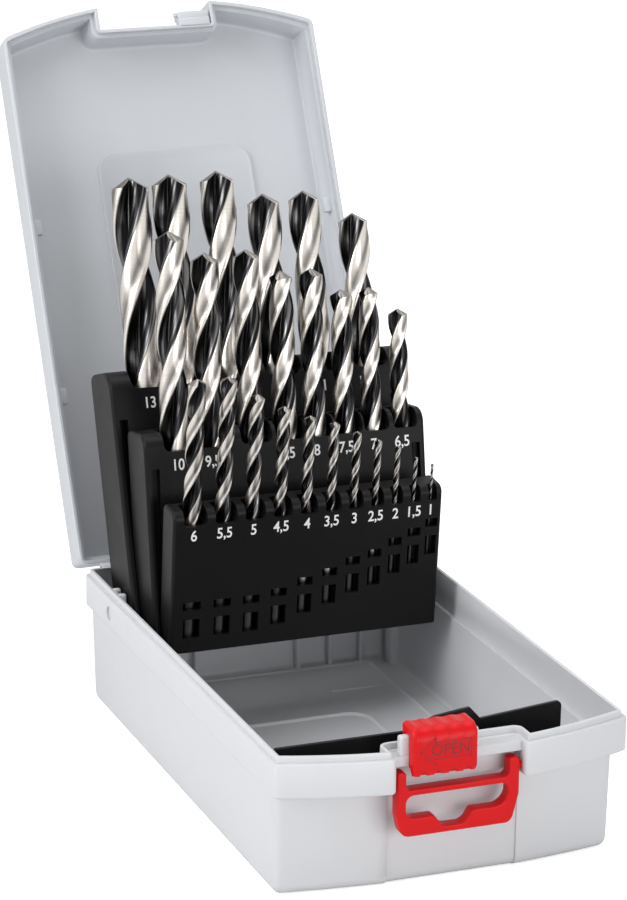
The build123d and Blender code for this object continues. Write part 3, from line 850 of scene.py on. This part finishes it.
tray_pieces = [dimpled(tray_skin()),
               raised((-45, 45), (-78, floor_back), 3, step_profile, "floor step", steps=4, shrink=0),
               raised((-25, 25), (-60, 39), 9, pad_profile, "pad")]
tray_pieces += tray_blocks()
tray_pieces += forks() + knuckles((-40, 40), -1)
tray = stand_in("tray", "base_tray", tray_pieces, tray_plastic)
print("tray faces:", len(tray.data.polygons))

# %% The lid
lid_top = 61.5
lid_rim_z = rim_z + 0.1
lid_lean = tan(radians(2))
ceiling = lid_top - 2.0
lid_corner_z = 47.7          # the step inside the rim, which clears the tray's tongue
nub_reach, nub_half = (61.8, 122.0), 2.7
panel_profile = ((0, -0.5), (0, 0.45), (0.25, 0.9), (0.6, 0.95), (1.1, 0.7))


def lid_ring(inset, z):
    lean = (z - rim_z) * lid_lean
    return plan(inset + lean, z, collar, 0.4, 0.3)


def lid_down(inset, z):
    """The same ring measured from the lid's top, for the roundings there."""
    return lid_ring(inset, 2 * lid_top - z)


def lid_skin():
    rings = rounding(lid_down, 1.2, 2 * lid_top - ceiling, 2.6, 0, 90)
    rings += [lid_ring(inset, z) for inset, z in (
        (2.6, lid_corner_z + 0.3), (2.5, lid_corner_z), (1.25, lid_corner_z), (1.25, lid_rim_z + 0.2),
        (1.05, lid_rim_z), (0.25, lid_rim_z), (0.0, lid_rim_z + 0.3))]
    rings += rounding(lid_down, 3.6, lid_top, 0, 90, 0)
    return skin(rings, "lid skin")


def lid_blocks():
    """The tab beside the latch, with its stop and its foot, and the nubs on the side walls."""
    made = [slab(7.7, 19.0, -101.1, -98.4, 45.6, 51.6, 0.6),
            slab(6.6, 8.2, -101.1, -99.8, 47.6, 48.9, 0.3),
            slab(7.7, 19.0, -98.8, -95.2, 45.6, 49.9, 0.3)]
    for reach in nub_reach:
        for sign in (-1, 1):
            x0, x1 = sorted((sign * 52.6, sign * 55.8))
            y = hinge_y - reach
            made.append(slab(x0, x1, y - nub_half, y + nub_half, 49.5, 52.0, 0.3))
    return made


panel = raised((-26.5, 31.0), (hinge_y - 149.0, hinge_y - 40.0), 7,
               [(inset, ceiling - depth) for inset, depth in panel_profile], "panel")
lid_pieces = [lid_skin(), panel] + lid_blocks()
lid_pieces += knuckles([x + s for x in (-40, 40) for s in (-7.3, 7.3)], 1)
hinge_spot = Vector((0, hinge_y, hinge_z)) * MM
opening = Matrix.Rotation(-radians(hinge["range_deg"][1]), 4, "X")
lid_swing = Matrix.Translation(hinge_spot) @ opening @ Matrix.Translation(-hinge_spot)
for mesh in lid_pieces:
    mesh.transform(lid_swing)
lid = stand_in("lid_shell", "lid", lid_pieces, shaded_lid_plastic)
print("lid faces:", len(lid.data.polygons))

# %% [markdown]
# The latch is a channel that wraps the rail. Its section is one closed line, swept along X. A wave
# lowers its top for the grooves and raises its lower edge for the notches, and the outer line draws in
# at both ends for the rounded edges. The hanger is a flat plate with a window.

# %% The latch
latch_left, latch_length = -17.5, 20.8
latch_front, latch_low, latch_top, latch_back = -105.94, 39.9, 54.9, -96.9
crown = 4.3
latch_edge, edge_stations, middle_stations = 1.2, 6, 90
grip_pitch, groove_reach, notch_reach = 4.7, 1.5, 1.1
groove_deep, notch_deep = 0.24, 0.95


def latch_section():
    """Outer and inner points of the section in (y, z); the flag marks the outer ones."""
    outer = [(latch_back, latch_top, 1)]
    for angle in np.linspace(90, 180, 12):
        outer.append((latch_front + crown + crown * cos(radians(angle)),
                      latch_top - crown + crown * sin(radians(angle)), 1))
    outer += [(latch_front, z, 1) for z in (48, 45, 43, 42, 41.4)]
    outer += [(latch_front + 0.25, 40.75, 1), (latch_front + 0.7, latch_low, 1)]
    inner = [(-104.4, latch_low, 0), (-103.0, 41.8, 0), (-101.7, 42.2, 0), (-101.7, 51.9, 0),
             (-98.1, 51.9, 0), (-98.1, 50.4, 0), (latch_back, 50.4, 0)]
    return outer + inner


def bump_wave(x, reach):
    """1 at the middle of each groove, 0 from its edge on."""
    middle = latch_left + latch_length / 2
    spots = [middle + step * grip_pitch for step in (-1.5, -0.5, 0.5, 1.5)]
    away = min(abs(x - spot) for spot in spots) / reach
    return max(1 - away ** 2, 0) ** 0.5


def latch_mesh():
    start, width = latch_left + latch_edge, latch_length - 2 * latch_edge
    stations = [(start - latch_edge * cos(angle), latch_edge * (1 - sin(angle)))
                for angle in np.linspace(0, pi / 2, edge_stations)]
    mirrored = [(2 * latch_left + latch_length - x, inset) for x, inset in reversed(stations)]
    stations += [(x, 0) for x in np.linspace(start, start + width, middle_stations)[1:-1]]
    stations += mirrored
    rings = []
    for x, inset in stations:
        ring = []
        for y, z, outer in latch_section():
            if outer:
                low = min(max((z - latch_low) / 2.4, 0), 1)
                high = min(max((z - (latch_top - crown)) / crown, 0), 1)
                groove = groove_deep * bump_wave(x, groove_reach) * min(high * 2.5, 1)
                y += inset * (1 - high * 0.7) + groove * (1 - high)
                z -= (inset + groove) * high
                z += (1 - low) * (inset * 0.5 + notch_deep * bump_wave(x, notch_reach))
            ring.append(Vector((x, y, z)))
        rings.append(ring)
    return skin(rings, "latch skin")


latch = stand_in("latch", "latch_slider", [latch_mesh()], red_plastic, 50)

# %% The hanger and the divider


def plate(outlines, thick, y, soft):
    """A flat plate with holes and soft edges, standing across the case; y is its back face."""
    line = bpy.data.curves.new("plate", "CURVE")
    line.dimensions = "2D"
    line.fill_mode = "BOTH"
    line.extrude = (thick / 2 - soft) * MM
    line.bevel_depth = soft * MM
    line.offset = -soft * MM
    line.bevel_resolution = 2
    for points in outlines:
        spline = line.splines.new("POLY")
        spline.points.add(len(points) - 1)
        for point, spot in zip(spline.points, points):
            point.co = (spot.x * MM, spot.y * MM, 0, 1)
        spline.use_cyclic_u = True
    mesh = worked_out("plate", line)
    mesh.transform(Matrix.Translation((0, (y - thick / 2) * MM, 0)) @ Matrix.Rotation(pi / 2, 4, "X"))
    return mesh


hanger_y, hanger_z = (value / MM for value in joints["hanger_hinge"]["pos_m"][1:])
left, right, bar = -21.3, 18.4, 34.75
arm_top = hanger_z + 3.2
frame_line = rounded([(left, arm_top, 1.0, 4), (left, 26.5, 5, 5), (left + 1.5, 19.7, 3.2, 7),
                      (right - 2.4, 19.7, 2.8, 7), (right, 29, 6, 5), (right, arm_top, 1.0, 4),
                      (right - 3.4, arm_top, 1.0, 4), (right - 3.4, bar, 1.6, 5),
                      (left + 2.9, bar, 1.6, 5), (left + 2.9, arm_top, 1.0, 4)])
window_line = rounded([(-18.4, 25.6, 2.7, 7), (-9.1, 25.6, 1.3, 5), (-6.6, 21.7, 3.6, 9),
                       (0.9, 21.7, 3.6, 9), (3.2, 25.6, 1.3, 5), (14.9, 25.6, 4.6, 8),
                       (14.9, 32.8, 2.4, 6), (-18.4, 32.8, 2.6, 6)])
hanger_thick = 4.5
hanger_pieces = [plate([frame_line, window_line], hanger_thick, hanger_y + hanger_thick / 2, 0.5),
                 rod(1.2, left - 1.5, left + 1, hanger_y, hanger_z),
                 rod(1.2, right - 1, 20.6, hanger_y, hanger_z)]
hanger = stand_in("hanger", "hanger_handle", hanger_pieces, red_plastic, 40)

divider_thick, divider_y = 1.2, -86.0
divider_line = rounded([(-51.0, 9.0, 2, 4), (-45.5, 4.3, 2, 4), (38.0, 4.3, 0.5, 2),
                        (39.0, 50.7, 1.6, 5), (12.0, 48.3, 0.3, 2), (8.4, 52.4, 0.5, 2),
                        (-3.0, 50.9, 1, 2), (-12.6, 47.3, 4, 4), (-54.7, 47.3, 0.4, 2),
                        (-53.3, 34.0, 1, 2)])
divider_plate = plate([divider_line], divider_thick, divider_y, 0.15)
divider = stand_in("divider", "front_insert", [divider_plate], divider_plastic, 40)
print("latch, hanger, divider faces:", [len(p.data.polygons) for p in (latch, hanger, divider)])

# %% [markdown]
# The latch carries an engraved arrow with the word OPEN in it. A shallow engraving reads as thin dark lines
# of shade, so they are thin strips of a darker red, painted shade, a hair proud of the face.

# %% The arrow on the latch
arrow_left = -15.3
arrow_neck = -10.65
arrow_right = 0.95
arrow_middle = 47.7
arrow_half = 2.6
arrow_head = 4.2
stroke = 0.28
word_size, word_narrow, word_bold, word_shift = 5.2, 0.95, 0.03, 0.9
arrow_proud = 0.02


def strip(a, b, width):
    """A thin flat bar between two points of the latch's face, as four corners."""
    along = (Vector(b) - Vector(a)).normalized() * width / 2
    side = Vector((-along.y, along.x))
    return [Vector(a) - along - side, Vector(b) + along - side, Vector(b) + along + side,
            Vector(a) - along + side]


def latch_arrow():
    face_y = (latch_front - arrow_proud) * MM
    outline = [(arrow_left, arrow_middle), (arrow_neck, arrow_middle + arrow_head),
               (arrow_neck, arrow_middle + arrow_half), (arrow_right, arrow_middle + arrow_half),
               (arrow_right, arrow_middle - arrow_half), (arrow_neck, arrow_middle - arrow_half),
               (arrow_neck, arrow_middle - arrow_head), (arrow_left, arrow_middle)]
    built = bmesh.new()
    for a, b in zip(outline, outline[1:]):
        built.faces.new([built.verts.new((p.x * MM, face_y, p.y * MM)) for p in strip(a, b, stroke)])
    word = word_mesh("OPEN", word_size, word_narrow, word_bold, arrow_proud)
    middle = (arrow_neck + arrow_right) / 2 - word_shift
    word.transform(Matrix.Translation(Vector((middle * MM, face_y, arrow_middle * MM))))
    joined = join_meshes("latch arrow", [finished(built, "arrow"), word])
    coat(joined, red_shade)
    piece = settle(joined, "latch_arrow", body_of_node("latch_slider"), 20)
    return piece


arrow = latch_arrow()
print("arrow faces:", len(arrow.data.polygons))

# %% [markdown]
# The stage is a white floor under soft light. The floor glows a little, for the camera alone, so that it
# reads as white and still takes the soft shadow. The world is white to the camera, dimmer as a source of
# light, and for metal to mirror it is bright with one dark side, which gives the drills their contrast.

# %% Floor and world
floor_grey = 0.80
floor_glow = 0.62
ambient_light = 0.44
dark_side = (0.34, -0.91, 0.15)


def stage_floor():
    mesh = bpy.data.meshes.new("floor")
    reach = 3.0
    mesh.from_pydata([(-reach, -reach, 0), (reach, -reach, 0), (reach, reach, 0), (-reach, reach, 0)],
                     [], [(0, 1, 2, 3)])
    floor = bpy.data.objects.new("floor", mesh)
    bpy.context.scene.collection.objects.link(floor)
    material, tree, shader = new_material("floor", (1, 1, 1))
    path = add(tree, "ShaderNodeLightPath")
    glow = add(tree, "ShaderNodeMath", {"operation": "MULTIPLY"}, _0=path.outputs["Is Camera Ray"],
               _1=floor_glow)
    feed(tree, shader, Base_Color=(floor_grey, floor_grey, floor_grey, 1), Roughness=0.9,
         Specular_IOR_Level=0.0, Emission_Color=(1, 1, 1, 1), Emission_Strength=glow.outputs[0])
    mesh.materials.append(material)


def stage_world():
    world = bpy.data.worlds.new("studio")
    world.use_nodes = True
    bpy.context.scene.world = world
    tree = world.node_tree
    tree.nodes.clear()
    path = add(tree, "ShaderNodeLightPath")
    place = add(tree, "ShaderNodeTexCoord").outputs["Generated"]
    facing = add(tree, "ShaderNodeVectorMath", {"operation": "DOT_PRODUCT"}, _0=place, _1=dark_side)
    mirrored = ramp(tree, facing.outputs["Value"], 0.88, 0.97, 1.05, 0.18)
    ambient, white, studio = (
        add(tree, "ShaderNodeBackground", Color=(1, 1, 1, 1), Strength=strength).outputs[0]
        for strength in (ambient_light, 1.0, mirrored))
    mix = add(tree, "ShaderNodeMixShader", _0=path.outputs["Is Camera Ray"], _1=ambient, _2=white)
    mix = add(tree, "ShaderNodeMixShader", _0=path.outputs["Is Glossy Ray"], _1=mix.outputs[0],
              _2=studio)
    add(tree, "ShaderNodeOutputWorld", Surface=mix.outputs[0])


stage_floor()
stage_world()

# %% Lamps


def soft_lamp(name, spot, size, power, target=(0, 0, 0.08)):
    """A rectangular lamp that faces the target; sizes in metres, power in watts."""
    light = bpy.data.lights.new(name, "AREA")
    light.shape = "RECTANGLE"
    light.size = size[0]
    light.size_y = size[1]
    light.energy = power
    lamp = bpy.data.objects.new(name, light)
    lamp.location = spot
    direction = Vector(target) - Vector(spot)
    lamp.rotation_euler = direction.to_track_quat("-Z", "Y").to_euler()
    bpy.context.scene.collection.objects.link(lamp)


soft_lamp("key", (-1.2, -0.15, 0.75), (0.8, 0.9), 13.5)
soft_lamp("front", (0.35, -1.3, 0.3), (0.9, 0.5), 7.4)
soft_lamp("top", (0.1, 0.1, 1.4), (1.0, 1.0), 8)

# %% [markdown]
# The camera has a long lens and stands at the front left, well above the case. Its place is one point,
# and the directions that are right and up in the picture say how it is turned.

# %% Camera
camera_place = Vector((-404.3, -1030.3, 445.7)) * MM
camera_right = Vector((0.934295, -0.356464, 0.005107))
camera_up = Vector((0.098980, 0.273138, 0.956869))
camera_lens, camera_sensor = 145.0, 36


def place_camera():
    data = bpy.data.cameras.new("camera")
    data.sensor_fit = "VERTICAL"
    data.sensor_height = camera_sensor
    data.lens = camera_lens
    data.clip_end = 20
    camera = bpy.data.objects.new("camera", data)
    back = camera_right.cross(camera_up)
    turn = Matrix((camera_right, camera_up, back)).transposed()
    camera.matrix_world = Matrix.Translation(camera_place) @ turn.to_4x4()
    bpy.context.scene.collection.objects.link(camera)
    bpy.context.scene.camera = camera


place_camera()
bpy.context.scene.view_settings.view_transform = "Standard"
